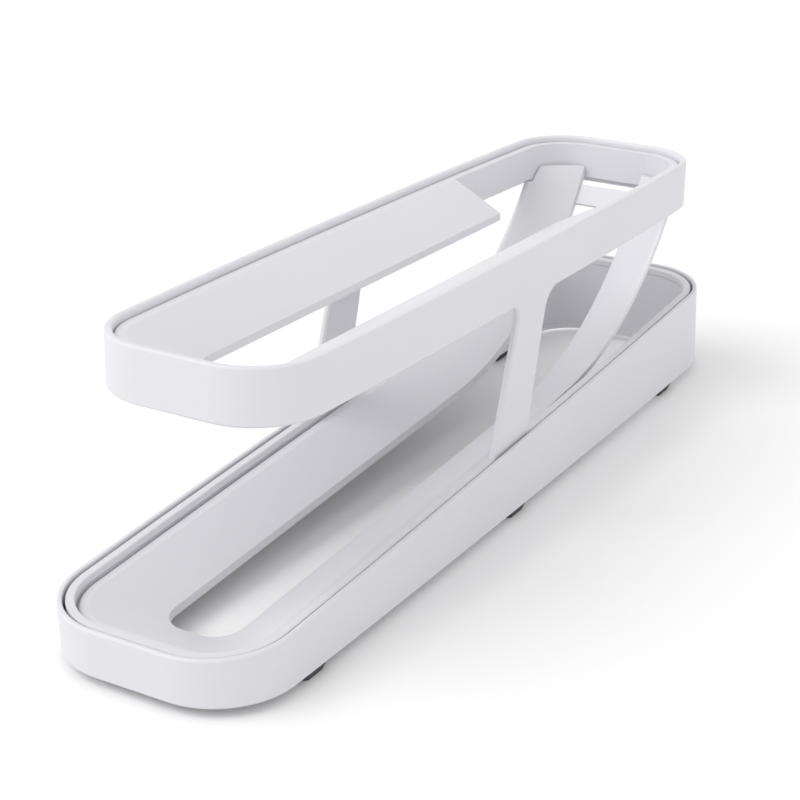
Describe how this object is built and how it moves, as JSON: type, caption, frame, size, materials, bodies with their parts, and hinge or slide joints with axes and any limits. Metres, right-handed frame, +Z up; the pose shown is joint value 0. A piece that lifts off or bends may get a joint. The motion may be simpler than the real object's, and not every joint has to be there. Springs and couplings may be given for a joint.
{
  "type": "egg dispenser",
  "caption": "Two-tier rolling egg dispenser: a sloped upper tray drops eggs through a well onto a curved chute that feeds a sloped lower track in a low base.",
  "frame": {"origin": "middle of the footprint, on the table under the feet", "axes": "+X to the right side, +Y to the back where the eggs drop, +Z up; the front, where eggs are taken, is at -Y"},
  "size_m": [0.086, 0.3602, 0.1037],
  "materials": {
    "white_plastic": "satin white moulded plastic",
    "foot_rubber": "matt dark grey rubber"
  },
  "bodies": {
    "base": {"base_ring": "white_plastic", "lower_track": "white_plastic", "foot_front_left": "foot_rubber", "foot_front_right": "foot_rubber", "foot_middle_left": "foot_rubber", "foot_middle_right": "foot_rubber", "foot_back_left": "foot_rubber", "foot_back_right": "foot_rubber"},
    "frame": {"support_frame": "white_plastic"},
    "tray": {"upper_tray": "white_plastic"}
  },
  "joints": [
    {"name": "frame_lift", "type": "slide", "parent": "base", "child": "frame", "axis": [0, -0.0501, 0.9987], "range_m": [0, 0.05]},
    {"name": "tray_lift", "type": "slide", "parent": "frame", "child": "tray", "axis": [0, 0.0268, 0.9996], "range_m": [0, 0.03]}
  ]
}
